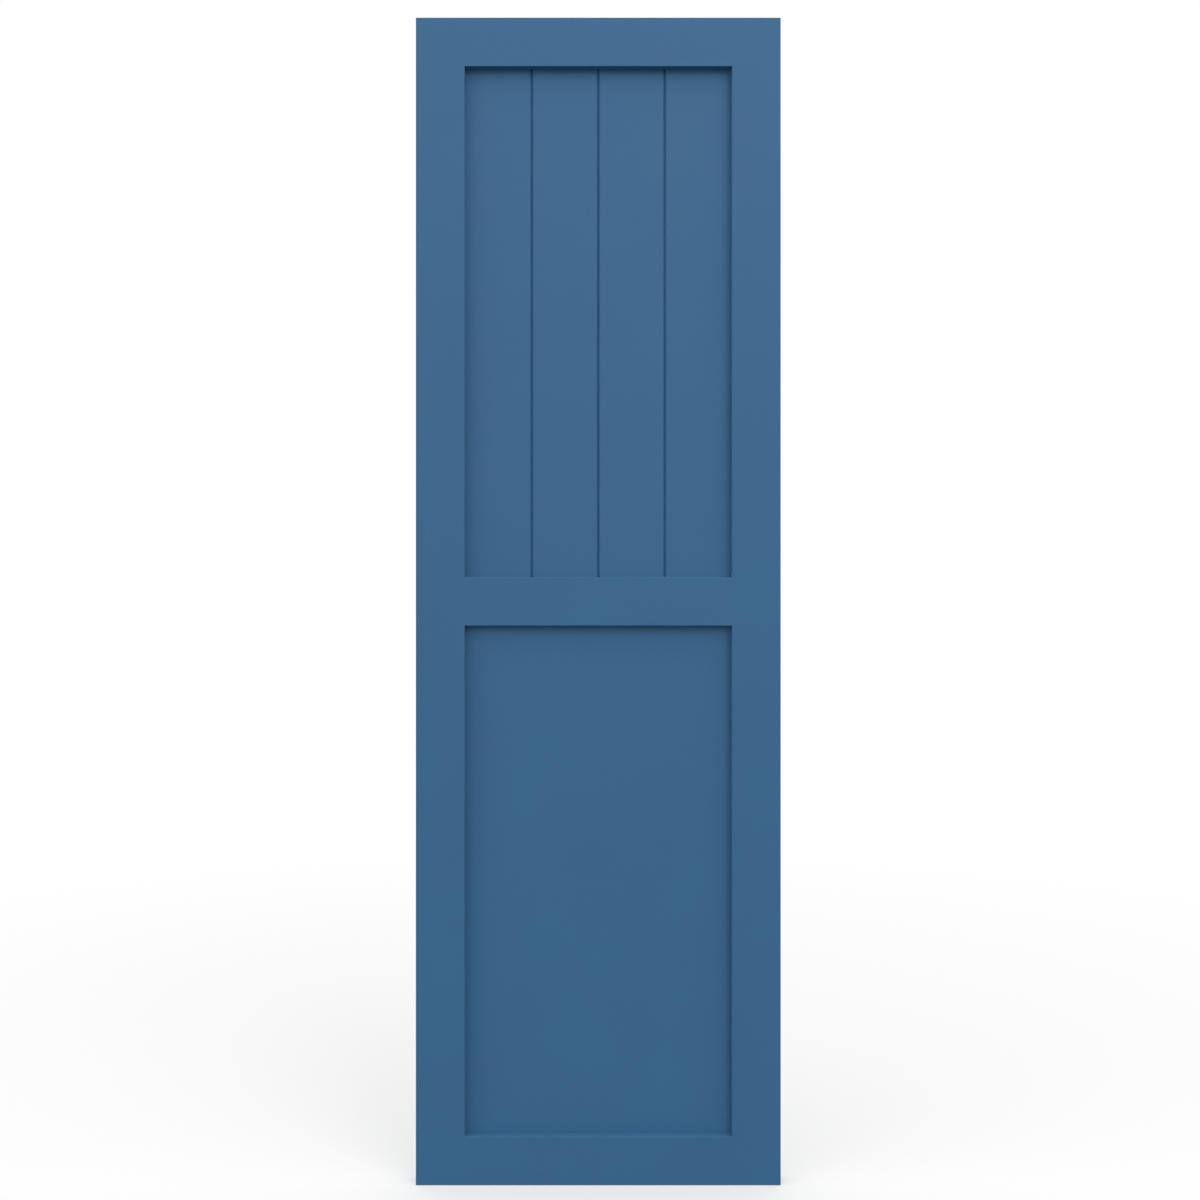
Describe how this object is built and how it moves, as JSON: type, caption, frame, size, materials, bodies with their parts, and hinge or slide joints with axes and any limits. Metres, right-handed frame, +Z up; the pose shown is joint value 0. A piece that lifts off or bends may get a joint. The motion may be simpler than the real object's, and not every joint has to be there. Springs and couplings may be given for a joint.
{
  "type": "panel shutter",
  "caption": "Flat wall-fixed window shutter: a stile-and-rail frame with upright tongue-and-groove boards above the middle rail and a flat recessed panel below it.",
  "frame": {"origin": "centre of the middle rail's back face, which is also the centre of the whole back, against the wall", "axes": "+Z up, along the stiles. +Y out of the back, into the wall, so the front faces -Y. +X to the right for someone who faces the front."},
  "size_m": [0.381, 0.0254, 1.2192],
  "materials": {
    "paint": "satin"
  },
  "bodies": {
    "root": {"left_stile": "paint", "right_stile": "paint", "top_rail": "paint", "middle_rail": "paint", "bottom_rail": "paint", "board_1": "paint", "board_2": "paint", "board_3": "paint", "board_4": "paint", "flat_panel": "paint"}
  },
  "joints": []
}
